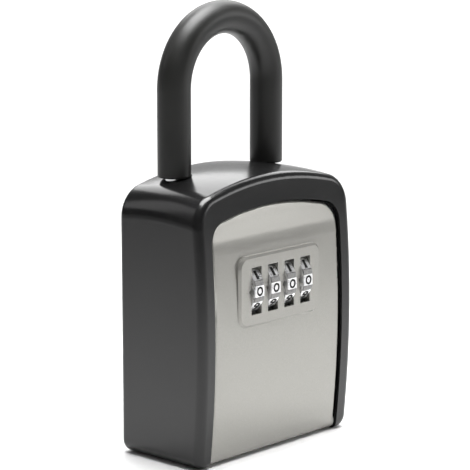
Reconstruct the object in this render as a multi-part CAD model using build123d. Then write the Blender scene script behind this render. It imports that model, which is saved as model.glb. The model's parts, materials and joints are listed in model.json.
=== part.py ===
from build123d import *
import math
import os

# Key lock box with a removable shackle, a bottom-hinged door and a four-dial combination lock.
# Millimetres. +X is to the right when facing the door, -Y is the front and +Z is up.
# The origin is on the surface the box stands on, under the middle of its bounding box.

# Body envelope
HALF_WIDTH = 46.6
BACK_Y = 24.45
BODY_PEAK_Z = 116.8
BODY_ARCH_RADIUS = 150.0
BODY_TOP_CORNER = 13.0
CROWN_RADIUS = 160.0        # the top is also gently domed from front to back
CROWN_Y = 4.0
BODY_BOTTOM_CORNER = 5.5
BOW_RADIUS = 445.0          # the front is a slice of a large cylinder that lies along X
BOW_FRONT_Y = -22.45
BOW_CENTRE_Z = 52.0
FRONT_EDGE_ROUND = 3.4
BACK_EDGE_ROUND = 2.6
JACKET_WALL = 2.5
CASE_WALL = 3.0
ROOM_CORNER = 2.0
CASE_OPENING_GROW = 0.5     # the case stands back from the jacket's lip by this
AHEAD_Y = -40.0             # a depth in front of everything, where cuts start
OPEN_CUT = 5.0              # how far a cut runs past the face it opens

# Shackle block, the solid top of the case
BLOCK_BOTTOM_Z = 93.0
BLOCK_FRONT_Y = -8.0
BLOCK_SCREW_DEPTH = 8.0
STRIKE_SCREWS = [(-13.0, -1.5), (13.0, -1.5)]
COVER_SCREWS = [(-30.0, -1.0), (30.0, -1.0)]

# Door and its opening
OPENING_HALF_WIDTH = 39.3
OPENING_PEAK_Z = 104.1
OPENING_ARCH_RADIUS = 140.0
OPENING_CORNER = 9.7
DOOR_GAP = 0.7
DOOR_RECESS = 0.9
DOOR_WALL = 2.4
DOOR_BACK_Y = -9.0
DOOR_EDGE_ROUND = 1.5
CREASE_Z = 89.7
CREASE_TILT = 13.0          # degrees from upright, above the crease
CREASE_ROUND = 40.0
BOSS_HALF_WIDTH = 25.0
BOSS_BOTTOM_Z = 55.2
BOSS_TOP_Z = 84.6
BOSS_CORNER = 5.0
BOSS_FACE_Y = -22.57
BOSS_SLOPE = 1.0

# Hinge
HINGE_Y = -15.3
HINGE_Z = 3.9
PIN_RADIUS = 1.25
PIN_END_GAP = 2.4
RUNNING_GAP = 0.06
KNUCKLE_GAP = 0.5
KNUCKLE_HOLLOW = 2.2

# Combination lock, carried by the door
DIAL_COUNT = 4
DIAL_PITCH = 10.0
DIAL_RADIUS = 11.2
DIAL_LAND = 11.0            # from the axis to a flat digit land
DIAL_WIDTH = 5.6
DIAL_Y = -13.45
DIAL_Z = 70.0
DIGITS = 10
SLOT_WIDTH = 6.0
SLOT_HEIGHT = 19.5
SPINDLE_RADIUS = 2.0
SPINDLE_HALF_LENGTH = 26.0
HUB_RADIUS = 4.0
FLANGE_RADIUS = 7.0
FLANGE_WIDTH = 2.4
GATE_WIDTH = 2.8
GATE_FLOOR = 4.1
TUB_HALF_WIDTH = 31.0
TUB_BOTTOM_Z = 53.0
TUB_TOP_Z = 85.0
TUB_BACK_Y = -1.5
TUB_WALL = 2.0
BACK_PLATE = 1.0
BACK_PLATE_SCREWS = [(x, z) for x in (-26.6, 26.6) for z in (57.6, 80.4)]
FRAME_SCREWS = [(-14.0, -5.0), (14.0, -5.0)]
LEVER_TRAVEL = 5.0
LEVER_Z = 58.0
CHEEK_X = 22.4
SHEET = 1.2                 # the steel that the frame, the strike and the lock cover are made of
MARK_SIZE = 1.6
DASH = (-21.4, -18.9)
DASH_WIDTH = 0.7
ENGRAVING = 0.3
FLANGE_ROOM = 0.5
TUB_FRONT_Y = -18.0
TUB_SHELF_Y = -9.6          # in front of this the tub is open at the top, for the latch bolt
POST_RADIUS = 2.6
SEAT_INNER_X = 24.2
SEAT_THICKNESS = 1.6
CLIP_STARTS = (-24.4, 23.7)
CLIP_GROOVE = 0.7
CLIP_THICKNESS = 0.6
CLIP_RADIUS = 3.6
SPACER_RADIUS = 3.4
KEY_HALF_WIDTH = 0.7
KEY_REACH = 5.0
FRAME_FRONT_Y = -16.5
LEAF = 0.4
FINGER_WIDTH = 3.6
FINGER_GAP = 0.3            # the fingers are drawn just clear of the dials' ribs
COMB_Y = (-7.5, -3.0)
COMB_HALF_WIDTH = 19.5
LEVER_HALF_WIDTH = 3.5

# Latch
LATCH_TRAVEL = 3.0
LATCH_PLATE = 2.0
LATCH_BAR_BOTTOM_Z = 84.5
LATCH_BAR_TOP_Z = 92.5
FENCE_CLEARANCE = 0.4
ARM_HALF_WIDTH = 6.0
ARM_BOTTOM_Z = 85.5
ARM_TOP_Z = 87.5
ARM_NOTCH = 7.0             # half the notch that the arm moves in
ARM_NOTCH_Z = 81.4
PLATE_SCREW_LENGTH = 5.5
GUIDE_SCREW_LENGTH = 4.4
NOSE_TOP_Z = 90.2
STRIKE_BACK_Y = -5.5
STRIKE_BOTTOM_Z = 88.3
LATCH_SPRING_X = 26.4
SPRING_SEAT_Z = 76.2
GUIDE_X = 14.0
GUIDE_Z = 87.9
GUIDE_SLOT_RADIUS = 1.45
TOOTH_HALF_WIDTH = 0.9
BOLT_HALF_WIDTH = 20.8
EAR_REACH = 28.2
EAR_LIFT = 1.5
STRIKE_HALF_WIDTH = 18.0
LIP_HALF_WIDTH = 10.0
STRIKE_REAR_Y = 2.4

# Shackle and its lock
SHACKLE_Y = 10.9
LEG_X = 27.9
CORE_RADIUS = 4.0
SLEEVE_RADIUS = 6.9
BEND_Z = 149.8
LEG_END_Z = 93.9
SLEEVE_END_Z = 114.4
LEG_BORE_RADIUS = 4.15
POCKET_TOP_Z = 98.4
POCKET_HALF_DEPTH = 6.8
PAD_TOP_Z = 96.0
LOCK_TRAVEL = 2.2
LOCK_PLATE_BOTTOM_Z = 96.15
LOCK_PLATE_TOP_Z = 98.25
LEG_NOTCH_DEPTH = 1.6
NOTCH_GAP = 0.25
SLOT_GAP = 0.2
LEG_HOLE_GAP = 0.4
SLEEVE_SEAT_Z = 114.3       # the jacket is faced off flat to this height round each leg
SLEEVE_SEAT_GAP = 0.3
SLEEVE_END_ROUND = 0.8
POCKET_X = (-36.0, 39.6)
COVER_HALF_WIDTH = 38.5
COVER_Y = (3.0, 18.0)
PLATE_HALF_LENGTH = 35.3
PLATE_HALF_DEPTH = 6.4
TAB_STUB_RADIUS = 1.6

# Fasteners
SCREW_RADIUS = 1.25
SCREW_HEAD_RADIUS = 2.3
SCREW_HEAD_HEIGHT = 1.4
SCREW_HEAD_ROUND = 0.5
DRIVE_LENGTH = 2.6
DRIVE_WIDTH = 0.6


def box(x, y, z):
    """A block between two X, two Y and two Z values."""
    centre = ((x[0] + x[1]) / 2, (y[0] + y[1]) / 2, (z[0] + z[1]) / 2)
    return Pos(*centre) * Box(x[1] - x[0], y[1] - y[0], z[1] - z[0])


def rod(axis, radius, start, end, at):
    """A cylinder along X, Y or Z between two values, through the point at on the other two axes."""
    centre = (start + end) / 2
    length = end - start
    if axis == "x":
        return Pos(centre, at[0], at[1]) * Rot(0, 90, 0) * Cylinder(radius, length)
    if axis == "y":
        return Pos(at[0], centre, at[1]) * Rot(90, 0, 0) * Cylinder(radius, length)
    return Pos(at[0], at[1], centre) * Cylinder(radius, length)


def slab(face, front_y, back_y):
    """A face drawn in X and Z, made solid between two depths."""
    return extrude(Plane.XZ.offset(-back_y) * face, amount=back_y - front_y)


def arched_face(half_width, bottom, peak, arch_radius, top_corner):
    """A flat bottom, upright sides and an arched top with rounded corners."""
    side_top = peak - arch_radius + math.sqrt(arch_radius**2 - half_width**2)
    sides = Polyline(
        (-half_width, side_top), (-half_width, bottom), (half_width, bottom), (half_width, side_top)
    )
    arch = ThreePointArc((half_width, side_top), (0, peak), (-half_width, side_top))
    face = make_face([sides, arch])
    return fillet(face.vertices().sort_by(Axis.Y)[-2:], top_corner)


def behind_bow(inset):
    """Everything behind the bowed front, moved back by inset."""
    centre_y = BOW_FRONT_Y + BOW_RADIUS
    reach = HALF_WIDTH + OPEN_CUT
    return rod("x", BOW_RADIUS - inset, -reach, reach, (centre_y, BOW_CENTRE_Z))


def bow_y(z, inset=0.0):
    """Depth of the bowed front at a height, moved back by inset."""
    radius = BOW_RADIUS - inset
    return BOW_FRONT_Y + BOW_RADIUS - math.sqrt(radius**2 - (z - BOW_CENTRE_Z) ** 2)


def barrel_radius():
    """The door's rounded lower edge turns about the hinge and runs smoothly into the bowed face."""
    to_bow_centre = math.hypot(BOW_FRONT_Y + BOW_RADIUS - HINGE_Y, BOW_CENTRE_Z - HINGE_Z)
    return BOW_RADIUS - DOOR_RECESS - to_bow_centre


def screw(head_at, direction, length):
    """A pan-head screw: the head's underside is at head_at, and the shank points along direction."""
    head = Pos(0, 0, -SCREW_HEAD_HEIGHT / 2) * Cylinder(SCREW_HEAD_RADIUS, SCREW_HEAD_HEIGHT)
    head = fillet(head.edges().group_by(Axis.Z)[0], SCREW_HEAD_ROUND)
    shank = Pos(0, 0, length / 2) * Cylinder(SCREW_RADIUS, length)
    slot = Pos(0, 0, -SCREW_HEAD_HEIGHT) * Box(DRIVE_LENGTH, DRIVE_WIDTH, SCREW_HEAD_HEIGHT)
    drive = slot + Pos(0, 0, -SCREW_HEAD_HEIGHT) * Box(DRIVE_WIDTH, DRIVE_LENGTH, SCREW_HEAD_HEIGHT)
    return Plane(origin=head_at, z_dir=direction).location * (head + shank - drive)


def coil(start, direction, length, radius, wire_radius, turns):
    """A closely ended compression spring standing on start."""
    path = Helix(pitch=(length - 2 * wire_radius) / turns, height=length - 2 * wire_radius, radius=radius)
    section = Plane(origin=path @ 0, z_dir=path % 0) * Circle(wire_radius)
    wire = sweep(section, path=path)
    return Plane(origin=start, z_dir=direction).location * Pos(0, 0, wire_radius) * wire


def body_form(inset):
    """The body's outer form, moved in by inset: arched and domed on top, bowed at the front."""
    half_width = HALF_WIDTH - inset
    peak = BODY_PEAK_Z - inset
    foot = Pos(0, (peak + inset) / 2) * Rectangle(2 * half_width, peak - inset)
    foot = fillet(foot.vertices().sort_by(Axis.Y)[:2], BODY_BOTTOM_CORNER - inset)
    arch = arched_face(half_width, -OPEN_CUT, peak, BODY_ARCH_RADIUS - inset, BODY_TOP_CORNER - inset)
    dome_axis = Axis((0, CROWN_Y, BODY_PEAK_Z - CROWN_RADIUS), (1, 0, 0))
    dome = revolve(Plane.XZ.offset(-CROWN_Y) * arch, dome_axis, 360)
    return slab(foot, AHEAD_Y, BACK_Y - inset) & dome & behind_bow(inset)


def opening_face(grow=0.0):
    """The door opening's outline, which runs out through the bottom."""
    return arched_face(
        OPENING_HALF_WIDTH + grow,
        -OPEN_CUT,
        OPENING_PEAK_Z + grow,
        OPENING_ARCH_RADIUS + grow,
        OPENING_CORNER + grow,
    )


def hinge_clearance():
    """The room that the door's lower edge turns in."""
    radius = barrel_radius() + KNUCKLE_GAP
    return rod("x", radius, -OPENING_HALF_WIDTH, OPENING_HALF_WIDTH, (HINGE_Y, HINGE_Z))


def leg_bores(radius, bottom_z):
    """Two upright bores for the shackle's legs."""
    bores = [rod("z", radius, bottom_z, BODY_PEAK_Z + OPEN_CUT, (x, SHACKLE_Y)) for x in (-LEG_X, LEG_X)]
    return bores[0] + bores[1]


def make_outer_jacket():
    """The black moulded jacket: back, sides, top, bottom and the lip around the door."""
    jacket = body_form(0.0)
    front = jacket.faces().sort_by(Axis.Y)[0]
    jacket = fillet(front.outer_wire().edges(), FRONT_EDGE_ROUND)
    back = jacket.faces().sort_by(Axis.Y)[-1]
    jacket = fillet(back.outer_wire().edges(), BACK_EDGE_ROUND)
    jacket -= body_form(JACKET_WALL)
    jacket -= slab(opening_face(), AHEAD_Y, HINGE_Y)
    jacket -= hinge_clearance()
    jacket -= leg_bores(SLEEVE_RADIUS + SLEEVE_SEAT_GAP, SLEEVE_SEAT_Z)
    return jacket - leg_bores(CORE_RADIUS + LEG_HOLE_GAP, BLOCK_BOTTOM_Z)


def screw_holes(places, bottom_z):
    """Holes for screws that point straight up into the shackle block."""
    holes = [rod("z", SCREW_RADIUS, bottom_z, bottom_z + BLOCK_SCREW_DEPTH, place) for place in places]
    return sum(holes[1:], holes[0])


def make_inner_case():
    """The die-cast case: open at the front, with the solid shackle block across its top."""
    case = body_form(JACKET_WALL)
    inner = HALF_WIDTH - JACKET_WALL - CASE_WALL
    floor_z = JACKET_WALL + CASE_WALL
    room = box((-inner, inner), (AHEAD_Y, BACK_Y - JACKET_WALL - CASE_WALL), (floor_z, BLOCK_BOTTOM_Z))
    case -= fillet(room.edges().filter_by(Axis.Z), ROOM_CORNER)
    opening = opening_face(CASE_OPENING_GROW)
    case -= slab(opening, AHEAD_Y, HINGE_Y)
    case -= slab(opening, AHEAD_Y, BLOCK_FRONT_Y) & box(
        (-HALF_WIDTH, HALF_WIDTH), (AHEAD_Y, BACK_Y), (floor_z, BODY_PEAK_Z)
    )
    case -= hinge_clearance()
    case -= leg_bores(LEG_BORE_RADIUS, BLOCK_BOTTOM_Z)
    case -= lock_pocket()
    case -= screw_holes(STRIKE_SCREWS + COVER_SCREWS, BLOCK_BOTTOM_Z)
    return case - make_hinge_pin()


def lock_pocket():
    """The pocket under the block that the shackle's lock plate slides in."""
    depth = (SHACKLE_Y - POCKET_HALF_DEPTH, SHACKLE_Y + POCKET_HALF_DEPTH)
    return box(POCKET_X, depth, (BLOCK_BOTTOM_Z - 1.0, POCKET_TOP_Z))


def make_hinge_pin():
    """A plain steel pin, pressed into both side walls of the case."""
    reach = HALF_WIDTH - JACKET_WALL - PIN_END_GAP
    pin = rod("x", PIN_RADIUS, -reach, reach, (HINGE_Y, HINGE_Z))
    return chamfer(pin.edges(), 0.3)


def make_strike_plate():
    """The bent steel strike that the latch's nose hooks behind."""
    front_y = STRIKE_BACK_Y - SHEET
    under_z = BLOCK_BOTTOM_Z - SHEET
    flange = box((-STRIKE_HALF_WIDTH, STRIKE_HALF_WIDTH), (front_y, STRIKE_REAR_Y), (under_z, BLOCK_BOTTOM_Z))
    lip = box((-LIP_HALF_WIDTH, LIP_HALF_WIDTH), (front_y, STRIKE_BACK_Y), (STRIKE_BOTTOM_Z, under_z))
    flange = fillet(flange.edges().filter_by(Axis.Z), 1.5)
    return flange + lip - screw_holes(STRIKE_SCREWS, BLOCK_BOTTOM_Z - OPEN_CUT)


def make_block_screws(places):
    """Screws that hold a plate to the underside of the shackle block."""
    return [screw((x, y, BLOCK_BOTTOM_Z - SHEET), (0, 0, 1), 7.0) for x, y in places]


def make_lock_cover():
    """The cover that closes the lock pocket and carries the sliding plate."""
    sheet_z = (BLOCK_BOTTOM_Z - SHEET, BLOCK_BOTTOM_Z)
    flange = box((-COVER_HALF_WIDTH, COVER_HALF_WIDTH), COVER_Y, sheet_z)
    for x, y in COVER_SCREWS:
        flange += box((x - 5.0, x + 5.0), (y - 4.0, COVER_Y[0]), sheet_z)
    depth = (SHACKLE_Y - POCKET_HALF_DEPTH + SLOT_GAP, SHACKLE_Y + POCKET_HALF_DEPTH - SLOT_GAP)
    pad = (POCKET_X[0] + SLOT_GAP, POCKET_X[1] - SLOT_GAP - LOCK_TRAVEL)
    cover = flange + box(pad, depth, (BLOCK_BOTTOM_Z, PAD_TOP_Z))
    for x in (-LEG_X, LEG_X):
        cover -= rod("z", CORE_RADIUS + 0.6, BLOCK_BOTTOM_Z, PAD_TOP_Z, (x, SHACKLE_Y))
    cover -= box((-3.0, 5.6), (SHACKLE_Y - 2.4, SHACKLE_Y + 2.4), (BLOCK_BOTTOM_Z - SHEET, PAD_TOP_Z))
    return cover - screw_holes(COVER_SCREWS, BLOCK_BOTTOM_Z - OPEN_CUT)


def make_lock_plate():
    """The sliding plate whose slots catch the notches in both legs."""
    depth = (SHACKLE_Y - PLATE_HALF_DEPTH, SHACKLE_Y + PLATE_HALF_DEPTH)
    height = (LOCK_PLATE_BOTTOM_Z, LOCK_PLATE_TOP_Z)
    plate = box((-PLATE_HALF_LENGTH, PLATE_HALF_LENGTH), depth, height)
    plate = fillet(plate.edges().filter_by(Axis.Z), 1.5)
    catch = CORE_RADIUS - LEG_NOTCH_DEPTH + SLOT_GAP
    for x in (-LEG_X, LEG_X):
        slot = (x - CORE_RADIUS - LOCK_TRAVEL - 0.4, x + catch)
        plate -= box(slot, (SHACKLE_Y - 4.4, SHACKLE_Y + 4.4), height)
    return plate - rod("z", TAB_STUB_RADIUS, LOCK_PLATE_BOTTOM_Z, LOCK_PLATE_TOP_Z, (0, SHACKLE_Y))


def make_release_tab():
    """The finger tab inside the box that slides the lock plate."""
    stub = rod("z", TAB_STUB_RADIUS, LOCK_PLATE_BOTTOM_Z, LOCK_PLATE_TOP_Z, (0, SHACKLE_Y))
    shank = box((-2.5, 2.5), (SHACKLE_Y - 2.0, SHACKLE_Y + 2.0), (BLOCK_BOTTOM_Z - 2.0, LOCK_PLATE_BOTTOM_Z))
    knob = box((-6.0, 6.0), (SHACKLE_Y - 4.0, SHACKLE_Y + 4.0), (BLOCK_BOTTOM_Z - 6.4, BLOCK_BOTTOM_Z - 1.8))
    knob = fillet(knob.edges().filter_by(Axis.Z) + knob.edges().group_by(Axis.Z)[0], 1.0)
    return knob + shank + stub


def make_lock_spring():
    """The spring that pushes the lock plate home."""
    middle_z = (LOCK_PLATE_BOTTOM_Z + LOCK_PLATE_TOP_Z) / 2
    length = POCKET_X[1] - PLATE_HALF_LENGTH
    return coil((PLATE_HALF_LENGTH, SHACKLE_Y, middle_z), (1, 0, 0), length, 0.9, 0.2, 4)


def make_shackle_core():
    """The hardened round bar, bent to a U, with a notch in each leg."""
    legs = [rod("z", CORE_RADIUS, LEG_END_Z, BEND_Z, (x, SHACKLE_Y)) for x in (-LEG_X, LEG_X)]
    core = legs[0] + legs[1] + half_torus(CORE_RADIUS)
    core = chamfer(core.edges().group_by(Axis.Z)[0], 0.6)
    height = (LOCK_PLATE_BOTTOM_Z - NOTCH_GAP, LOCK_PLATE_TOP_Z + NOTCH_GAP)
    depth = (SHACKLE_Y - CORE_RADIUS - 1.0, SHACKLE_Y + CORE_RADIUS + 1.0)
    for x in (-LEG_X, LEG_X):
        core -= box((x + CORE_RADIUS - LEG_NOTCH_DEPTH, x + CORE_RADIUS + 1.0), depth, height)
    return core


def half_torus(radius):
    """The shackle's bend, as a half ring above the legs."""
    section = Plane(origin=(LEG_X, SHACKLE_Y, BEND_Z), z_dir=(0, 0, 1)) * Circle(radius)
    return revolve(section, Axis((0, SHACKLE_Y, BEND_Z), (0, -1, 0)), 180)


def make_shackle_sleeve():
    """The soft black tube over the shackle, which stops just above the body."""
    legs = [rod("z", SLEEVE_RADIUS, SLEEVE_END_Z, BEND_Z, (x, SHACKLE_Y)) for x in (-LEG_X, LEG_X)]
    sleeve = legs[0] + legs[1] + half_torus(SLEEVE_RADIUS)
    sleeve = fillet(sleeve.edges().group_by(Axis.Z)[0], SLEEVE_END_ROUND)
    bores = [rod("z", CORE_RADIUS, SLEEVE_END_Z, BEND_Z, (x, SHACKLE_Y)) for x in (-LEG_X, LEG_X)]
    return sleeve - bores[0] - bores[1] - half_torus(CORE_RADIUS)


def crease_cut(inset):
    """Everything in front of the door's tilted upper face, moved back by inset."""
    tilt = math.radians(CREASE_TILT)
    start = (0, bow_y(CREASE_Z, DOOR_RECESS), CREASE_Z)
    plane = Plane(origin=start, x_dir=(1, 0, 0), z_dir=(0, -math.cos(tilt), math.sin(tilt)))
    return plane.location * Pos(0, 0, 25.0 - inset) * Box(120, 120, 50)


def door_face(inset):
    """The door's outline, moved in by inset."""
    return arched_face(
        OPENING_HALF_WIDTH - DOOR_GAP - inset,
        -OPEN_CUT,
        OPENING_PEAK_Z - DOOR_GAP - inset,
        OPENING_ARCH_RADIUS - DOOR_GAP - inset,
        OPENING_CORNER - DOOR_GAP - inset,
    )


def door_blank(inset, bottom_z):
    """The door's solid form above a height, moved in by inset on the front and the edges."""
    blank = slab(door_face(inset), AHEAD_Y, DOOR_BACK_Y) & behind_bow(DOOR_RECESS + inset)
    blank -= crease_cut(inset)
    above = box((-HALF_WIDTH, HALF_WIDTH), (AHEAD_Y, BACK_Y), (bottom_z, BODY_PEAK_Z))
    return blank & above


def dial_x(i):
    """Centre of a dial along X, counted from the left of the front."""
    return (i - (DIAL_COUNT - 1) / 2) * DIAL_PITCH


def make_boss():
    """The raised field around the dials, with sloping sides."""
    half_height = (BOSS_TOP_Z - BOSS_BOTTOM_Z) / 2
    middle = (BOSS_TOP_Z + BOSS_BOTTOM_Z) / 2
    field = Pos(0, middle) * RectangleRounded(2 * BOSS_HALF_WIDTH, 2 * half_height, BOSS_CORNER)
    boss = slab(field, BOSS_FACE_Y, bow_y(BOSS_TOP_Z, DOOR_RECESS) + 0.5)
    front = boss.faces().sort_by(Axis.Y)[0]
    return chamfer(front.outer_wire().edges(), BOSS_SLOPE)


def dial_windows():
    """The four slots, the room behind them and the index marks beside them."""
    cuts = []
    for i in range(DIAL_COUNT):
        x = dial_x(i)
        side = (x - SLOT_WIDTH / 2, x + SLOT_WIDTH / 2)
        window = box(side, (AHEAD_Y, DIAL_Y), (DIAL_Z - SLOT_HEIGHT / 2, DIAL_Z + SLOT_HEIGHT / 2))
        turn = rod("x", DIAL_RADIUS + 0.5, side[0], side[1], (DIAL_Y, DIAL_Z))
        mark = Pos(side[0], BOSS_FACE_Y, DIAL_Z) * Rot(45, 0, 0) * Box(MARK_SIZE, MARK_SIZE, MARK_SIZE)
        cuts += [window, turn, mark]
    reach = CHEEK_X - 0.2
    cuts.append(rod("x", FLANGE_RADIUS + FLANGE_ROOM, -reach, reach, (DIAL_Y, DIAL_Z)))
    dash_z = (DIAL_Z - DASH_WIDTH / 2, DIAL_Z + DASH_WIDTH / 2)
    dash = box(DASH, (AHEAD_Y, BOSS_FACE_Y + ENGRAVING), dash_z)
    return sum(cuts, dash)


def make_lock_tub():
    """The walls inside the door around the lock, with its screw posts and spring seats."""
    outer = box((-TUB_HALF_WIDTH, TUB_HALF_WIDTH), (TUB_FRONT_Y, TUB_BACK_Y), (TUB_BOTTOM_Z, TUB_TOP_Z))
    wall = TUB_WALL
    inside = TUB_HALF_WIDTH - wall
    tub = outer - box((-inside, inside), (AHEAD_Y, BACK_Y), (TUB_BOTTOM_Z + wall, TUB_TOP_Z - wall))
    tub -= box((-inside, inside), (AHEAD_Y, TUB_SHELF_Y), (TUB_BOTTOM_Z + wall, TUB_TOP_Z))
    tub -= box((-ARM_NOTCH, ARM_NOTCH), (AHEAD_Y, BACK_Y), (ARM_NOTCH_Z, TUB_TOP_Z))
    for x, z in BACK_PLATE_SCREWS:
        tub += rod("y", POST_RADIUS, DOOR_BACK_Y, TUB_BACK_Y, (x, z))
        tub -= rod("y", SCREW_RADIUS, TUB_BACK_Y - PLATE_SCREW_LENGTH - 0.5, TUB_BACK_Y, (x, z))
    for side in (-1, 1):
        seat_x = sorted((side * SEAT_INNER_X, side * inside))
        tub += box(seat_x, (-16.0, TUB_SHELF_Y), (SPRING_SEAT_Z - SEAT_THICKNESS, SPRING_SEAT_Z))
        guide = (side * GUIDE_X, GUIDE_Z - LATCH_TRAVEL / 2)
        tub += rod("y", 2.4, TUB_FRONT_Y, DIAL_Y - LATCH_PLATE / 2 - 0.1, guide)
    for x, y in FRAME_SCREWS:
        tub -= rod("z", SCREW_RADIUS, TUB_BOTTOM_Z, TUB_TOP_Z, (x, y)) & box(
            (-inside, inside), (AHEAD_Y, BACK_Y), (TUB_BOTTOM_Z, TUB_BOTTOM_Z + wall)
        )
    return tub


def make_door_barrel():
    """The rounded lower edge, hollowed between its three knuckles, with the pin's bore."""
    reach = OPENING_HALF_WIDTH - DOOR_GAP
    radius = barrel_radius()
    barrel = rod("x", radius, -reach, reach, (HINGE_Y, HINGE_Z))
    for side in (-1, 1):
        span = sorted((side * 6.0, side * (reach - 7.0)))
        barrel -= rod("x", KNUCKLE_HOLLOW, span[0], span[1], (HINGE_Y, HINGE_Z))
        barrel -= box(span, (HINGE_Y, 0.0), (HINGE_Z - 2.0, HINGE_Z + 8.0))
    return barrel


def make_door_panel():
    """The die-cast door: bowed face, edge walls, lock tub, dial windows and hinge barrel."""
    door = door_blank(0.0, HINGE_Z)
    crease = door.edges().filter_by(Axis.X).sort_by(lambda e: abs(e.center().Z - CREASE_Z))[0]
    door = fillet(crease, CREASE_ROUND)
    front = door.faces().sort_by(lambda f: f.center().Y)[:3]
    outline = [e for e in door.edges() if is_front_outline(e, front)]
    door = fillet(outline, DOOR_EDGE_ROUND)
    floor_room = (0.0, JACKET_WALL + CASE_WALL + KNUCKLE_GAP)
    door -= box((-HALF_WIDTH, HALF_WIDTH), (HINGE_Y, BACK_Y), floor_room)
    door -= door_blank(DOOR_WALL, HINGE_Z + 5.0)
    door += make_door_barrel()
    door += make_boss()
    door += make_lock_tub() & (behind_bow(DOOR_RECESS + 1.0) - crease_cut(1.0))
    door -= dial_windows()
    for side in (-1, 1):
        guide = (side * GUIDE_X, GUIDE_Z - LATCH_TRAVEL / 2)
        door -= rod("y", SCREW_RADIUS, DIAL_Y - GUIDE_SCREW_LENGTH + 1.0, DIAL_Y, guide)
    bore = rod("x", PIN_RADIUS + RUNNING_GAP, -HALF_WIDTH, HALF_WIDTH, (HINGE_Y, HINGE_Z))
    return door - bore


def is_front_outline(edge, front):
    """Whether an edge lies on the rim of the door's front faces, away from its lower end."""
    on_front = sum(any(edge.is_same(other) for other in face.edges()) for face in front)
    return on_front == 1 and edge.center().Z > HINGE_Z + 0.1


def make_spindle():
    """The round shaft that the dials turn on, with a groove at each end for its clip."""
    spindle = rod("x", SPINDLE_RADIUS, -SPINDLE_HALF_LENGTH, SPINDLE_HALF_LENGTH, (DIAL_Y, DIAL_Z))
    spindle = chamfer(spindle.edges(), 0.4)
    for start in CLIP_STARTS:
        end = start + CLIP_GROOVE
        ring = rod("x", SPINDLE_RADIUS + 1.0, start, end, (DIAL_Y, DIAL_Z))
        spindle -= ring - rod("x", SPINDLE_RADIUS - 0.5, start, end, (DIAL_Y, DIAL_Z))
    return spindle


def make_clips():
    """Spring clips in the spindle's grooves, each open at one side."""
    clips = []
    for groove in CLIP_STARTS:
        start = groove + (CLIP_GROOVE - CLIP_THICKNESS) / 2
        end = start + CLIP_THICKNESS
        ring = rod("x", CLIP_RADIUS, start, end, (DIAL_Y, DIAL_Z))
        ring -= rod("x", SPINDLE_RADIUS - 0.5, start, end, (DIAL_Y, DIAL_Z))
        ring -= box((start, end), (DIAL_Y, DIAL_Y + CLIP_RADIUS), (DIAL_Z - 1.3, DIAL_Z + 1.3))
        clips.append(ring)
    return clips


def make_spacers():
    """Plain tubes on the spindle that keep the dials apart."""
    edges = [-CHEEK_X + 0.05]
    for i in range(DIAL_COUNT):
        edges += [dial_x(i) - DIAL_WIDTH / 2 - FLANGE_WIDTH - 0.1, dial_x(i) + DIAL_WIDTH / 2 + 0.1]
    edges.append(CHEEK_X - 0.05)
    spacers = []
    for start, end in zip(edges[0::2], edges[1::2]):
        tube = rod("x", SPACER_RADIUS, start, end, (DIAL_Y, DIAL_Z))
        spacers.append(tube - rod("x", SPINDLE_RADIUS, start, end, (DIAL_Y, DIAL_Z)))
    return spacers


def make_dial(i):
    """A numbered dial: ten flat digit lands with a grip rib between each pair."""
    x = dial_x(i)
    side = (x - DIAL_WIDTH / 2, x + DIAL_WIDTH / 2)
    dial = rod("x", DIAL_RADIUS, side[0], side[1], (DIAL_Y, DIAL_Z))
    dial = chamfer(dial.edges(), 0.3)
    step = 360.0 / DIGITS
    for digit in range(DIGITS):
        land = Pos(0, -DIAL_LAND - 1.0, 0) * Box(DIAL_WIDTH + 1.0, 2.0, 5.0)
        dial -= Pos(x, DIAL_Y, DIAL_Z) * Rot(digit * step, 0, 0) * land
    return dial - clutch_hub(i)


def clutch_hub(i):
    """The keyed hub inside a dial."""
    x = dial_x(i)
    side = (x - DIAL_WIDTH / 2, x + DIAL_WIDTH / 2)
    hub = rod("x", HUB_RADIUS, side[0], side[1], (DIAL_Y, DIAL_Z))
    key_y = (DIAL_Y - KEY_HALF_WIDTH, DIAL_Y + KEY_HALF_WIDTH)
    return hub + box(side, key_y, (DIAL_Z - KEY_REACH, DIAL_Z + KEY_REACH))


def make_clutch_sleeve(i):
    """A dial's code wheel: a keyed hub and a flange with its gate and a false gate between two digits."""
    left = dial_x(i) - DIAL_WIDTH / 2
    flange = rod("x", FLANGE_RADIUS, left - FLANGE_WIDTH, left, (DIAL_Y, DIAL_Z))
    width = (left - FLANGE_WIDTH, left)
    half = GATE_WIDTH / 2
    rim = FLANGE_RADIUS + 1.0
    flange -= box(width, (DIAL_Y - half, DIAL_Y + half), (DIAL_Z + GATE_FLOOR, DIAL_Z + rim))
    flange -= box(width, (DIAL_Y + GATE_FLOOR, DIAL_Y + rim), (DIAL_Z - half, DIAL_Z + half))
    sleeve = flange + clutch_hub(i)
    bore = SPINDLE_RADIUS + RUNNING_GAP
    return sleeve - rod("x", bore, width[0], left + DIAL_WIDTH, (DIAL_Y, DIAL_Z))


def make_lock_frame():
    """The folded steel frame that carries the spindle."""
    base_z = TUB_BOTTOM_Z + TUB_WALL
    outer = CHEEK_X + SHEET
    frame = box((-outer, outer), (FRAME_FRONT_Y, TUB_BACK_Y - 1.0), (base_z, base_z + SHEET))
    for side in (-1, 1):
        span = sorted((side * CHEEK_X, side * outer))
        cheek = box(span, (FRAME_FRONT_Y, -6.0), (base_z, DIAL_Z + 4.6))
        frame += fillet(cheek.edges().filter_by(Axis.X).group_by(Axis.Z)[-1], 3.0)
    frame -= rod("x", SPINDLE_RADIUS, -outer, outer, (DIAL_Y, DIAL_Z))
    for x, y in FRAME_SCREWS:
        frame -= rod("z", SCREW_RADIUS, base_z, base_z + SHEET, (x, y))
    return frame


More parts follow.
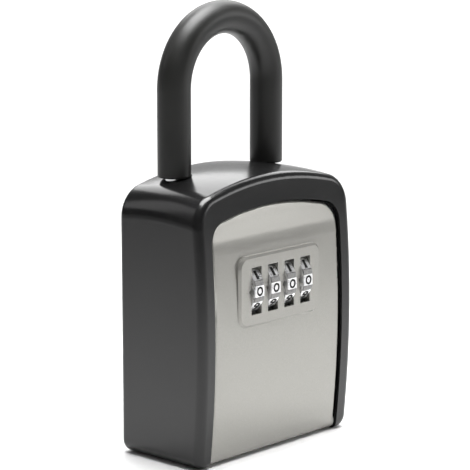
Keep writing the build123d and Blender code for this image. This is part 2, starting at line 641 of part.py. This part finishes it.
def make_detent_spring():
    """The leaf comb: one finger under each dial."""
    base_z = TUB_BOTTOM_Z + TUB_WALL + SHEET
    comb = box((-COMB_HALF_WIDTH, COMB_HALF_WIDTH), COMB_Y, (base_z, base_z + LEAF))
    tip_z = DIAL_Z - DIAL_RADIUS - FINGER_GAP
    for i in range(DIAL_COUNT):
        side_view = make_face(
            Polyline(
                (COMB_Y[0], base_z),
                (COMB_Y[0], base_z + LEAF),
                (DIAL_Y, tip_z),
                (DIAL_Y - 2.0, tip_z - 0.7),
                (DIAL_Y - 2.0, tip_z - 0.7 - LEAF),
                (DIAL_Y, tip_z - LEAF),
                (COMB_Y[0], base_z),
            )
        )
        comb += extrude(Plane.YZ.offset(dial_x(i) - FINGER_WIDTH / 2) * side_view, amount=FINGER_WIDTH)
    for x, y in FRAME_SCREWS:
        comb -= rod("z", SCREW_RADIUS, base_z, base_z + LEAF, (x, y))
    return comb


def make_frame_screws():
    """Screws through the comb and the frame into the tub's floor."""
    head_z = TUB_BOTTOM_Z + TUB_WALL + SHEET + LEAF
    return [screw((x, y, head_z), (0, 0, -1), TUB_WALL + SHEET + LEAF) for x, y in FRAME_SCREWS]


def make_back_plate():
    """The steel plate that closes the lock, with a notch for the latch and a slot for the lever."""
    depth = (TUB_BACK_Y, TUB_BACK_Y + BACK_PLATE)
    plate = box((-TUB_HALF_WIDTH, TUB_HALF_WIDTH), depth, (TUB_BOTTOM_Z, TUB_TOP_Z))
    plate = fillet(plate.edges().filter_by(Axis.Y), 2.0)
    plate -= box((-ARM_NOTCH, ARM_NOTCH), depth, (ARM_NOTCH_Z, TUB_TOP_Z))
    slot_reach = LEVER_TRAVEL / 2 + LEVER_HALF_WIDTH + 1.5
    plate -= box((-slot_reach, slot_reach), depth, (LEVER_Z - 1.4, LEVER_Z + 1.4))
    for x, z in BACK_PLATE_SCREWS:
        plate -= rod("y", SCREW_RADIUS, depth[0], depth[1], (x, z))
    return plate


def make_back_plate_screws():
    """Screws through the back plate into the tub's posts."""
    head_y = TUB_BACK_Y + BACK_PLATE
    return [screw((x, head_y, z), (0, -1, 0), PLATE_SCREW_LENGTH) for x, z in BACK_PLATE_SCREWS]


def make_reset_lever():
    """The small lever inside the door that is moved to set a new code."""
    x = -LEVER_TRAVEL / 2
    inside = TUB_BACK_Y - 0.1
    outside = TUB_BACK_Y + BACK_PLATE + 0.1
    width = (x - LEVER_HALF_WIDTH, x + LEVER_HALF_WIDTH)
    knob = box(width, (outside, outside + 2.4), (LEVER_Z - 2.4, LEVER_Z + 2.4))
    knob = fillet(knob.edges().group_by(Axis.Y)[-1], 0.8)
    shank = box((x - 2.0, x + 2.0), (inside, outside), (LEVER_Z - 1.2, LEVER_Z + 1.2))
    foot = box(width, (inside - 0.8, inside), (LEVER_Z - 1.2, LEVER_Z + 2.4))
    return knob + shank + foot


def make_latch_bolt():
    """The spring-loaded bolt: four fence teeth below, guide slots, spring ears and the hooked nose."""
    depth = (DIAL_Y - LATCH_PLATE / 2, DIAL_Y + LATCH_PLATE / 2)
    bolt = box((-BOLT_HALF_WIDTH, BOLT_HALF_WIDTH), depth, (LATCH_BAR_BOTTOM_Z, LATCH_BAR_TOP_Z))
    bolt += box((-EAR_REACH, EAR_REACH), depth, (LATCH_BAR_BOTTOM_Z + EAR_LIFT, LATCH_BAR_TOP_Z - 3.0))
    tip_z = DIAL_Z + FLANGE_RADIUS + FENCE_CLEARANCE
    for i in range(DIAL_COUNT):
        x = dial_x(i) - (DIAL_WIDTH + FLANGE_WIDTH) / 2
        bolt += box((x - TOOTH_HALF_WIDTH, x + TOOTH_HALF_WIDTH), depth, (tip_z, LATCH_BAR_BOTTOM_Z))
    bolt += box((-ARM_HALF_WIDTH, ARM_HALF_WIDTH), (DIAL_Y, -1.2), (ARM_BOTTOM_Z, ARM_TOP_Z))
    bolt += make_nose()
    for side in (-1, 1):
        x = side * GUIDE_X
        span = (GUIDE_Z - LATCH_TRAVEL / 2, GUIDE_Z + LATCH_TRAVEL / 2)
        lower = rod("y", GUIDE_SLOT_RADIUS, depth[0], depth[1], (x, span[0]))
        upper = rod("y", GUIDE_SLOT_RADIUS, depth[0], depth[1], (x, span[1]))
        middle = box((x - GUIDE_SLOT_RADIUS, x + GUIDE_SLOT_RADIUS), depth, span)
        bolt -= lower + upper + middle
    return bolt


def make_nose():
    """The hook's nose, ramped on both sides so that it snaps over the strike."""
    side_view = Polyline(
        (-4.6, ARM_TOP_Z),
        (-4.2, NOSE_TOP_Z - 0.6),
        (-3.6, NOSE_TOP_Z),
        (-3.0, NOSE_TOP_Z),
        (-1.2, ARM_TOP_Z),
        (-4.6, ARM_TOP_Z),
    )
    return extrude(Plane.YZ.offset(-ARM_HALF_WIDTH) * make_face(side_view), amount=2 * ARM_HALF_WIDTH)


def make_guide_screws():
    """Shoulder screws that the latch bolt slides on."""
    z = GUIDE_Z - LATCH_TRAVEL / 2
    back = DIAL_Y + LATCH_PLATE / 2 + 0.1
    return [screw((side * GUIDE_X, back, z), (0, -1, 0), GUIDE_SCREW_LENGTH) for side in (-1, 1)]


def make_latch_springs():
    """Two springs that lift the latch bolt."""
    length = LATCH_BAR_BOTTOM_Z + EAR_LIFT - SPRING_SEAT_Z
    seats = [(side * LATCH_SPRING_X, DIAL_Y, SPRING_SEAT_Z) for side in (-1, 1)]
    return [coil(seat, (0, 0, 1), length, 1.5, 0.3, 6) for seat in seats]


def save(name, shape):
    """Write one node, as a single solid or as a group of separate solids."""
    solids = shape if isinstance(shape, list) else [shape]
    export_step(Compound(children=[s for part in solids for s in part.solids()]), f"parts/{name}.step")


def main():
    os.makedirs("parts", exist_ok=True)
    nodes = {
        "outer_jacket": make_outer_jacket(),
        "inner_case": make_inner_case(),
        "hinge_pin": make_hinge_pin(),
        "strike_plate": make_strike_plate(),
        "strike_screws": make_block_screws(STRIKE_SCREWS),
        "shackle_lock_cover": make_lock_cover(),
        "cover_screws": make_block_screws(COVER_SCREWS),
        "shackle_lock_plate": make_lock_plate(),
        "shackle_release_tab": make_release_tab(),
        "shackle_lock_spring": make_lock_spring(),
        "shackle_core": make_shackle_core(),
        "shackle_sleeve": make_shackle_sleeve(),
        "door_panel": make_door_panel(),
        "dial_spindle": make_spindle(),
        "spindle_clips": make_clips(),
        "dial_spacers": make_spacers(),
        "lock_frame": make_lock_frame(),
        "detent_spring": make_detent_spring(),
        "frame_screws": make_frame_screws(),
        "door_back_plate": make_back_plate(),
        "back_plate_screws": make_back_plate_screws(),
        "code_reset_lever": make_reset_lever(),
        "latch_bolt": make_latch_bolt(),
        "latch_guide_screws": make_guide_screws(),
        "latch_springs": make_latch_springs(),
    }
    for i in range(DIAL_COUNT):
        nodes[f"dial_{i + 1}"] = make_dial(i)
        nodes[f"clutch_sleeve_{i + 1}"] = make_clutch_sleeve(i)
    for name, shape in nodes.items():
        save(name, shape)


main()
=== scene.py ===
import bmesh
import bpy
import json
import math
from mathutils import Matrix, Vector


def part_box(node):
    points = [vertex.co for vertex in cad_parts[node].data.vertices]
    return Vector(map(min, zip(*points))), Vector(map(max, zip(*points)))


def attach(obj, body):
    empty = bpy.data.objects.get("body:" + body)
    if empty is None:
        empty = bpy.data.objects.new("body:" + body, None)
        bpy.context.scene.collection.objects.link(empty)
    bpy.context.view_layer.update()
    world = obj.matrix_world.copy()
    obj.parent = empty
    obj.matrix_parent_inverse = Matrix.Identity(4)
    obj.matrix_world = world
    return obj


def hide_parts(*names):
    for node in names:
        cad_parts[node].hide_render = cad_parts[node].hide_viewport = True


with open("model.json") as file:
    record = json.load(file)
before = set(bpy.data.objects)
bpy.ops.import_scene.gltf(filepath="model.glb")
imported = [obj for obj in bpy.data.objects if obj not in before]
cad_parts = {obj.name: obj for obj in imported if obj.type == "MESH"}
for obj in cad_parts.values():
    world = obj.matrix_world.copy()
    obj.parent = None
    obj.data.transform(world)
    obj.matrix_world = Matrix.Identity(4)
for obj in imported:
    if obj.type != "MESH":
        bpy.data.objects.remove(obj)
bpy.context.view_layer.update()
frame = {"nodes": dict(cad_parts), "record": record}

# Looks for the key lock box. Metres, in the CAD frame: -Y is the front and +Z is up.

MM = 0.001

# Camera: azimuth is measured from the front, towards +X
CAMERA_TARGET = Vector((0.0, 2.43, 93.4)) * MM
CAMERA_AZIMUTH = math.radians(-47.46)
CAMERA_ELEVATION = math.radians(10.59)
CAMERA_DISTANCE = 874.23 * MM
CAMERA_LENS = 161.33
CAMERA_SHIFT = (-0.00252, -0.02966)

SENSOR_WIDTH = 36.0

# Dials: lands that carry the numerals, with ridged grips between them
DIGITS = 10
DIAL_STEP = 2 * math.pi / DIGITS
LAND_RADIUS = 11.0 * MM
LAND_HALF_ANGLE = math.radians(11.6)
LAND_STEPS = 6
RIB_RADIUS = 11.25 * MM
RIB_STEPS = 24
RIDGES = 3
RIDGE_DEPTH = 0.65          # share of a rib's height
SHOULDER_STEEPNESS = 7.0
SHOULDER_DROP = 0.22 * MM
DIAL_HALF_WIDTH = 2.8 * MM
FACE_SINK = 0.35 * MM       # each side face is sunk this far, between two radii
FACE_INNER_RADIUS = 4.2 * MM
FACE_OUTER_RADIUS = 8.4 * MM
RIM_INNER_RADIUS = 8.7 * MM
EDGE_ROUND = ((0.0, 0.3 * MM), (0.12 * MM, 0.09 * MM), (0.3 * MM, 0.0))     # (in from the side, radius lost)
SHARP_ANGLE = math.radians(24)

# Numerals
DIGIT_HEIGHT = 3.9 * MM
DIGIT_WIDTH = 3.7 * MM
ONE_WIDTH = 1.5 * MM
DIGIT_RISE = 0.05 * MM
FONT_EXTRUDE = 0.02
FONT_BOLDNESS = 0.035
FONT_RESOLUTION = 6
ZERO_STROKE = 0.86 * MM
ZERO_STEPS = 48

# Painted shade on the door: behind this depth, and on faces that look back, its colour is darkened to stand
# in for the shade inside its slots and hollows
SHADE_DEPTH_Y = -15.5 * MM
SHADE_FADE = 0.5 * MM
BACK_FACING = (0.4, 0.6)    # Y of the normal, from grey paint to painted shade
PAINTED_SHADE_COLOUR = (0.018, 0.018, 0.018)
SHADE_ROUGHNESS = 0.7

# Floor
FLOOR_REACH = 6.0
FLOOR_Z = -0.2 * MM

# Studio: an even surround, brighter patches of it, and soft boxes
SURROUND = 0.10
PATCHES = [
    # direction, cosine where it starts, cosine where it is full, brightness
    ((0.72, 0.66, 0.10), 0.45, 0.94, 0.50),
    ((0.0, 0.0, 1.0), 0.55, 0.98, 0.15),
    ((0.72, -0.65, 0.26), 0.90, 0.995, 0.50),
]
BOXES = [
    # name, place, target, size, watts
    ("pool_box", (0.02, -0.02, 0.56), (0.02, -0.02, 0.0), (0.34, 0.34), 6.4),
    ("rim_box", (-0.8, 1.0, 0.85), (0.0, 0.0, 0.1), (0.4, 0.8), 1.4),
    ("door_box", (1.15, -1.05, 0.50), (0.0, 0.0, 0.09), (0.9, 0.40), 5.0),
    ("far_box", (1.75, 1.6, 1.7), (1.5, 1.4, 0.0), (2.6, 2.6), 75.0),
]

# Colour and roughness go from one end to the other between these two values of the noise
RAMP_START = 0.3
RAMP_END = 0.7


# Shader helpers

def principled(name, **settings):
    """A new material, with the constant values set straight on its shader."""
    material = bpy.data.materials.new(name)
    material.use_nodes = True
    tree = material.node_tree
    shader = tree.nodes["Principled BSDF"]
    for key, value in settings.items():
        shader.inputs[key.replace("_", " ")].default_value = value
    return material, tree, shader


def noise(tree, scale, detail=4.0, stretch=(1.0, 1.0, 1.0)):
    """Noise in the piece's own coordinates; scale is in features per metre."""
    coordinates = tree.nodes.new("ShaderNodeTexCoord")
    mapping = tree.nodes.new("ShaderNodeMapping")
    mapping.inputs["Scale"].default_value = stretch
    texture = tree.nodes.new("ShaderNodeTexNoise")
    texture.inputs["Scale"].default_value = scale
    texture.inputs["Detail"].default_value = detail
    tree.links.new(coordinates.outputs["Object"], mapping.inputs["Vector"])
    tree.links.new(mapping.outputs["Vector"], texture.inputs["Vector"])
    return texture.outputs["Fac"]


def vary_colour(tree, shader, value, dark, light):
    """Base colour between two tones."""
    ramp = tree.nodes.new("ShaderNodeValToRGB")
    ramp.color_ramp.elements[0].position = RAMP_START
    ramp.color_ramp.elements[0].color = (*dark, 1.0)
    ramp.color_ramp.elements[1].position = RAMP_END
    ramp.color_ramp.elements[1].color = (*light, 1.0)
    tree.links.new(value, ramp.inputs["Fac"])
    tree.links.new(ramp.outputs["Color"], shader.inputs["Base Color"])


def ramp_on_y(tree, vector, low, high):
    """0 to 1 as a vector's Y goes from low to high."""
    split = tree.nodes.new("ShaderNodeSeparateXYZ")
    remap = tree.nodes.new("ShaderNodeMapRange")
    remap.inputs["From Min"].default_value = low
    remap.inputs["From Max"].default_value = high
    tree.links.new(vector, split.inputs["Vector"])
    tree.links.new(split.outputs["Y"], remap.inputs["Value"])
    return remap.outputs["Result"]


def combine(tree, operation, first, second):
    """A Math node's result; second is a socket or a number."""
    node = tree.nodes.new("ShaderNodeMath")
    node.operation = operation
    tree.links.new(first, node.inputs[0])
    if isinstance(second, float):
        node.inputs[1].default_value = second
    else:
        tree.links.new(second, node.inputs[1])
    return node.outputs["Value"]


def unpainted_behind(tree, shader, y, dark, rough):
    """Painted shade: past a depth y, and on faces that look back, the paint gives way to a dark, rough
    surface that stands in for the shade in the hollows.
    """
    painted = shader.inputs["Base Color"].links[0].from_socket
    polished = shader.inputs["Roughness"].links[0].from_socket
    coordinates = tree.nodes.new("ShaderNodeTexCoord")
    deep = ramp_on_y(tree, coordinates.outputs["Object"], y, y + SHADE_FADE)
    backward = ramp_on_y(tree, coordinates.outputs["Normal"], *BACK_FACING)
    shade_mask = combine(tree, "MAXIMUM", deep, backward)
    mix = tree.nodes.new("ShaderNodeMix")
    mix.data_type = "RGBA"
    mix.inputs["B"].default_value = (*dark, 1.0)
    tree.links.new(shade_mask, mix.inputs["Factor"])
    tree.links.new(painted, mix.inputs["A"])
    tree.links.new(mix.outputs["Result"], shader.inputs["Base Color"])
    rougher = combine(tree, "MAXIMUM", combine(tree, "MULTIPLY", shade_mask, rough), polished)
    tree.links.new(rougher, shader.inputs["Roughness"])


def vary_roughness(tree, shader, value, low, high):
    """Roughness between two values."""
    remap = tree.nodes.new("ShaderNodeMapRange")
    remap.inputs["From Min"].default_value = RAMP_START
    remap.inputs["From Max"].default_value = RAMP_END
    remap.inputs["To Min"].default_value = low
    remap.inputs["To Max"].default_value = high
    tree.links.new(value, remap.inputs["Value"])
    tree.links.new(remap.outputs["Result"], shader.inputs["Roughness"])


def add_bump(tree, shader, heights):
    """Bump from (height, strength, depth in metres) layers."""
    previous = None
    for height, strength, depth in heights:
        bump = tree.nodes.new("ShaderNodeBump")
        bump.inputs["Strength"].default_value = strength
        bump.inputs["Distance"].default_value = depth
        tree.links.new(height, bump.inputs["Height"])
        if previous is not None:
            tree.links.new(previous, bump.inputs["Normal"])
        previous = bump.outputs["Normal"]
    tree.links.new(previous, shader.inputs["Normal"])


def surface(name, dark, light, roughness, grain, blotch=45.0, stretch=(1.0, 1.0, 1.0), **settings):
    """A material with slow colour and roughness drift and a fine grain.

    grain is (scale, strength, depth in metres)."""
    material, tree, shader = principled(name, **settings)
    drift = noise(tree, blotch)
    fine = noise(tree, grain[0], stretch=stretch)
    vary_colour(tree, shader, drift, dark, light)
    vary_roughness(tree, shader, drift, *roughness)
    add_bump(tree, shader, [(fine, grain[1], grain[2])])
    return material


# Materials, one for each of the record's slots and a few for the extra pieces

def jacket_material():
    """Satin black moulded shell with a slight orange peel."""
    material, tree, shader = principled("satin_black_shell", Specular_IOR_Level=0.40)
    drift = noise(tree, 30.0)
    vary_colour(tree, shader, drift, (0.0050, 0.0050, 0.0051), (0.0075, 0.0075, 0.0077))
    vary_roughness(tree, shader, drift, 0.16, 0.21)
    peel = noise(tree, 420.0, detail=2.0)
    grain = noise(tree, 5200.0, detail=2.0)
    add_bump(tree, shader, [(peel, 0.05, 0.00005), (grain, 0.08, 0.00001)])
    return material


def sleeve_material():
    """Soft black tube: broad highlights, fine drawn lines along the bar."""
    material, tree, shader = principled("black_vinyl", Specular_IOR_Level=0.38)
    drift = noise(tree, 60.0)
    vary_colour(tree, shader, drift, (0.0070, 0.0070, 0.0064), (0.0110, 0.0110, 0.0102))
    vary_roughness(tree, shader, drift, 0.36, 0.44)
    drawn = noise(tree, 900.0, stretch=(1.0, 1.0, 0.06))
    grain = noise(tree, 4200.0)
    add_bump(tree, shader, [(drawn, 0.10, 0.00003), (grain, 0.15, 0.00002)])
    return material


def door_material():
    """Warm light-grey satin paint with a metallic flake, darkened by painted shade inside its slots and
    hollows.
    """
    material, tree, shader = principled("satin_grey_paint", Metallic=0.5, Specular_IOR_Level=0.5)
    drift = noise(tree, 26.0)
    flake = noise(tree, 3600.0, detail=1.0)
    vary_colour(tree, shader, flake, (0.258, 0.253, 0.235), (0.300, 0.295, 0.274))
    vary_roughness(tree, shader, drift, 0.18, 0.23)
    # Painted shade: the door's inside and its back-facing faces are made dark
    unpainted_behind(tree, shader, SHADE_DEPTH_Y, PAINTED_SHADE_COLOUR, SHADE_ROUGHNESS)
    peel = noise(tree, 500.0, detail=2.0)
    add_bump(tree, shader, [(peel, 0.08, 0.00005), (flake, 0.10, 0.00001)])
    return material


MATERIALS = {
    "jacket": jacket_material(),
    "sleeve": sleeve_material(),
    "door": door_material(),
    "case": surface("cast_zinc", (0.30, 0.30, 0.31), (0.40, 0.40, 0.41), (0.42, 0.58),
                    (1400.0, 0.35, 0.00005), Metallic=0.9),
    "steel": surface("zinc_plated_steel", (0.42, 0.43, 0.45), (0.56, 0.56, 0.57), (0.24, 0.38),
                     (2600.0, 0.12, 0.00002), stretch=(1.0, 1.0, 0.2), Metallic=1.0),
    "chrome": surface("chromed_bar", (0.70, 0.71, 0.72), (0.80, 0.80, 0.80), (0.06, 0.13),
                      (1800.0, 0.04, 0.00001), Metallic=1.0),
    "dials": surface("chromed_dial", (0.56, 0.56, 0.57), (0.80, 0.80, 0.80), (0.24, 0.36),
                     (2400.0, 0.10, 0.00001), blotch=600.0, stretch=(0.15, 1.0, 1.0), Metallic=0.8),
    "brass": surface("turned_brass", (0.50, 0.36, 0.13), (0.62, 0.46, 0.19), (0.22, 0.34),
                     (2200.0, 0.12, 0.00001), Metallic=1.0),
    "plastic": surface("black_nylon", (0.020, 0.020, 0.020), (0.032, 0.032, 0.032), (0.45, 0.58),
                       (3000.0, 0.25, 0.00003)),
    "tab": surface("red_nylon", (0.28, 0.012, 0.010), (0.36, 0.020, 0.016), (0.38, 0.50),
                   (2600.0, 0.20, 0.00003)),
}
RIB_MATERIAL = surface("dial_grip", (0.09, 0.09, 0.09), (0.25, 0.25, 0.245), (0.34, 0.50),
                       (2600.0, 0.7, 0.00008), blotch=2200.0, Metallic=0.85)
PAINT_MATERIAL = surface("black_filler_paint", (0.002, 0.002, 0.002), (0.005, 0.005, 0.005), (0.45, 0.60),
                         (5000.0, 0.15, 0.00001), Specular_IOR_Level=0.2)


def paint_cad_nodes():
    """Every CAD node takes the material of the slot that the record gives it."""
    for part in frame["record"]["subparts"]:
        mesh = frame["nodes"][part["node"]].data
        mesh.materials.clear()
        mesh.materials.append(MATERIALS[part["material_slot"]])


# Pieces

def add_piece(name, mesh, body, materials):
    """A new piece that rides on a CAD body."""
    piece = bpy.data.objects.new(name, mesh)
    bpy.context.scene.collection.objects.link(piece)
    for material in materials:
        mesh.materials.append(material)
    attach(piece, body)
    return piece


def dial_outline():
    """(angle from a dial's digit 0, radius, whether it is grip) once round the dial."""
    points = []
    shoulder_radius = LAND_RADIUS / math.cos(LAND_HALF_ANGLE)
    rib_angle = DIAL_STEP - 2 * LAND_HALF_ANGLE
    for digit in range(DIGITS):
        centre = digit * DIAL_STEP
        for i in range(LAND_STEPS):
            angle = LAND_HALF_ANGLE * (2 * i / LAND_STEPS - 1)
            points.append((centre + angle, LAND_RADIUS / math.cos(angle), False))
        for i in range(RIB_STEPS):
            t = i / RIB_STEPS
            shoulder = min(1.0, SHOULDER_STEEPNESS * t, SHOULDER_STEEPNESS * (1 - t))
            wave = math.cos(2 * math.pi * RIDGES * (t - 0.5))
            rise = (RIB_RADIUS - shoulder_radius) * (1 - RIDGE_DEPTH + RIDGE_DEPTH * wave)
            radius = shoulder_radius - SHOULDER_DROP * (1 - shoulder) + shoulder * rise
            points.append((centre + LAND_HALF_ANGLE + rib_angle * t, radius, True))
    return points


def dial_rings(outline):
    """(distance along the axis, radii) for each ring of points, from one side face to the other."""
    def even(radius):
        return [radius] * len(outline)

    half = [
        (-DIAL_HALF_WIDTH + FACE_SINK, even(FACE_INNER_RADIUS)),
        (-DIAL_HALF_WIDTH + FACE_SINK, even(FACE_OUTER_RADIUS)),
        (-DIAL_HALF_WIDTH, even(RIM_INNER_RADIUS)),
    ]
    for inward, cut in EDGE_ROUND:
        half.append((-DIAL_HALF_WIDTH + inward, [radius - cut for _, radius, _ in outline]))
    return half + [(-x, radii) for x, radii in reversed(half)]


def make_dial(index):
    """A chromed dial with ten lands and ridged grips between them. Returns its centre."""
    node = f"dial_{index}"
    low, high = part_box(node)
    centre = (low + high) / 2
    outline = dial_outline()
    rings = dial_rings(outline)
    shape = bmesh.new()
    loops = []
    for x, radii in rings:
        loop = []
        for (angle, _, _), radius in zip(outline, radii):
            y = centre.y - radius * math.cos(angle)
            z = centre.z + radius * math.sin(angle)
            loop.append(shape.verts.new((centre.x + x, y, z)))
        loops.append(loop)

    # Rings 3 to 8 make the rim, where the grips have their own material
    first_rim_ring = len(rings) // 2 - len(EDGE_ROUND)
    last_rim_ring = len(rings) // 2 + len(EDGE_ROUND) - 1
    count = len(outline)
    for k in range(len(loops) - 1):
        on_rim = first_rim_ring <= k < last_rim_ring
        for i in range(count):
            j = (i + 1) % count
            face = shape.faces.new((loops[k][i], loops[k + 1][i], loops[k + 1][j], loops[k][j]))
            face.material_index = 1 if outline[i][2] and on_rim else 0
            face.smooth = True
    for i in range(count):
        j = (i + 1) % count
        shape.faces.new((loops[-1][i], loops[0][i], loops[0][j], loops[-1][j]))
    bmesh.ops.recalc_face_normals(shape, faces=shape.faces)
    mesh = bpy.data.meshes.new(f"detailed_dial_{index}")
    shape.to_mesh(mesh)
    shape.free()
    mesh.set_sharp_from_angle(angle=SHARP_ANGLE)
    dial = add_piece(f"detailed_dial_{index}", mesh, node, [MATERIALS["dials"], RIB_MATERIAL])
    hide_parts(node)
    return centre


def digit_mesh(digit):
    """One numeral's outline as a thin mesh, centred, standing up and facing the front."""
    text = bpy.data.curves.new("numeral", "FONT")
    text.body = str(digit)
    text.extrude = FONT_EXTRUDE
    text.offset = FONT_BOLDNESS
    text.resolution_u = FONT_RESOLUTION
    holder = bpy.data.objects.new("numeral", text)
    bpy.context.scene.collection.objects.link(holder)
    graph = bpy.context.evaluated_depsgraph_get()
    mesh = bpy.data.meshes.new_from_object(holder.evaluated_get(graph))
    bpy.data.objects.remove(holder)
    xs = [v.co.x for v in mesh.vertices]
    ys = [v.co.y for v in mesh.vertices]
    tall = DIGIT_HEIGHT / (max(ys) - min(ys))
    wide = (ONE_WIDTH if digit == 1 else DIGIT_WIDTH) / (max(xs) - min(xs))
    middle = Vector(((max(xs) + min(xs)) / 2, (max(ys) + min(ys)) / 2, 0.0))
    mesh.transform(Matrix.Translation(-middle))
    mesh.transform(Matrix.Diagonal((wide, tall, DIGIT_RISE / FONT_EXTRUDE, 1.0)))
    mesh.transform(Matrix.Rotation(math.radians(90), 4, "X"))
    return mesh


def zero_mesh():
    """The numeral 0: a flat upright ring that faces the front."""
    section = [(0.0, DIGIT_RISE), (0.0, -DIGIT_RISE), (ZERO_STROKE, -DIGIT_RISE), (ZERO_STROKE, DIGIT_RISE)]
    shape = bmesh.new()
    loops = []
    for inset, y in section:
        loop = []
        for i in range(ZERO_STEPS):
            angle = 2 * math.pi * i / ZERO_STEPS
            across = (DIGIT_WIDTH / 2 - inset) * math.cos(angle)
            up = (DIGIT_HEIGHT / 2 - inset) * math.sin(angle)
            loop.append(shape.verts.new((across, y, up)))
        loops.append(loop)
    for k, outer in enumerate(loops):
        inner = loops[(k + 1) % len(loops)]
        for i in range(ZERO_STEPS):
            j = (i + 1) % ZERO_STEPS
            shape.faces.new((outer[i], outer[j], inner[j], inner[i]))
    bmesh.ops.recalc_face_normals(shape, faces=shape.faces)
    mesh = bpy.data.meshes.new("zero")
    shape.to_mesh(mesh)
    shape.free()
    return mesh


def make_digits(index, centre):
    """The ten numerals on one dial, filled with black paint."""
    shape = bmesh.new()
    for digit in range(DIGITS):
        mesh = zero_mesh() if digit == 0 else digit_mesh(digit)
        mesh.transform(Matrix.Translation((0.0, -LAND_RADIUS, 0.0)))
        mesh.transform(Matrix.Rotation(-digit * DIAL_STEP, 4, "X"))
        mesh.transform(Matrix.Translation(centre))
        shape.from_mesh(mesh)
        bpy.data.meshes.remove(mesh)
    merged = bpy.data.meshes.new(f"dial_digits_{index}")
    shape.to_mesh(merged)
    shape.free()
    add_piece(f"dial_digits_{index}", merged, f"dial_{index}", [PAINT_MATERIAL])


# Stage, light and camera

def make_floor():
    """A plain pale floor."""
    mesh = bpy.data.meshes.new("floor")
    corners = [(x * FLOOR_REACH, y * FLOOR_REACH, 0.0) for x, y in ((-1, -1), (1, -1), (1, 1), (-1, 1))]
    mesh.from_pydata(corners, [], [(0, 1, 2, 3)])
    floor = bpy.data.objects.new("floor", mesh)
    floor.location.z = FLOOR_Z
    bpy.context.scene.collection.objects.link(floor)
    mesh.materials.append(surface("pale_floor", (0.86, 0.86, 0.86), (0.90, 0.90, 0.90), (0.65, 0.75),
                                  (300.0, 0.02, 0.0001), blotch=1.0))


def area_light(name, location, target, size, watts):
    """A soft white box that points at a target."""
    light = bpy.data.lights.new(name, "AREA")
    light.shape = "RECTANGLE"
    light.size, light.size_y = size
    light.energy = watts
    holder = bpy.data.objects.new(name, light)
    holder.location = location
    direction = Vector(target) - Vector(location)
    holder.rotation_mode = "QUATERNION"
    holder.rotation_quaternion = direction.to_track_quat("-Z", "Y")
    holder.visible_camera = False
    bpy.context.scene.collection.objects.link(holder)


def patch(tree, direction, start, full, brightness):
    """A soft patch of the surround: start and full are cosines of the angle from its middle."""
    coordinates = tree.nodes.new("ShaderNodeTexCoord")
    towards = tree.nodes.new("ShaderNodeVectorMath")
    towards.operation = "DOT_PRODUCT"
    towards.inputs[1].default_value = Vector(direction).normalized()
    remap = tree.nodes.new("ShaderNodeMapRange")
    remap.interpolation_type = "SMOOTHSTEP"
    remap.inputs["From Min"].default_value = start
    remap.inputs["From Max"].default_value = full
    remap.inputs["To Min"].default_value = 0.0
    remap.inputs["To Max"].default_value = brightness
    tree.links.new(coordinates.outputs["Generated"], towards.inputs[0])
    tree.links.new(towards.outputs["Value"], remap.inputs["Value"])
    return remap.outputs["Result"]


def make_light():
    """Studio light: a dim surround with brighter patches, and soft boxes above and around."""
    world = bpy.data.worlds.new("surround")
    bpy.context.scene.world = world
    world.use_nodes = True
    tree = world.node_tree
    background = tree.nodes["Background"]
    total = SURROUND
    for settings in PATCHES:
        total = combine(tree, "ADD", patch(tree, *settings), total)
    tree.links.new(total, background.inputs["Strength"])
    background.inputs["Color"].default_value = (1.0, 1.0, 1.0, 1.0)
    for settings in BOXES:
        area_light(*settings)


def make_camera():
    """The camera, at the photograph's viewing angle."""
    data = bpy.data.cameras.new("camera")
    data.sensor_width = SENSOR_WIDTH
    data.lens = CAMERA_LENS
    data.shift_x, data.shift_y = CAMERA_SHIFT
    camera = bpy.data.objects.new("camera", data)
    flat = math.cos(CAMERA_ELEVATION)
    x = math.sin(CAMERA_AZIMUTH) * flat
    y = -math.cos(CAMERA_AZIMUTH) * flat
    back = Vector((x, y, math.sin(CAMERA_ELEVATION)))
    camera.location = CAMERA_TARGET + back * CAMERA_DISTANCE
    camera.rotation_mode = "QUATERNION"
    camera.rotation_quaternion = (-back).to_track_quat("-Z", "Y")
    bpy.context.scene.collection.objects.link(camera)
    bpy.context.scene.camera = camera


paint_cad_nodes()
for dial_number in range(1, 5):
    dial_centre = make_dial(dial_number)
    make_digits(dial_number, dial_centre)
make_floor()
make_light()
make_camera()
bpy.context.scene.view_settings.view_transform = "Standard"
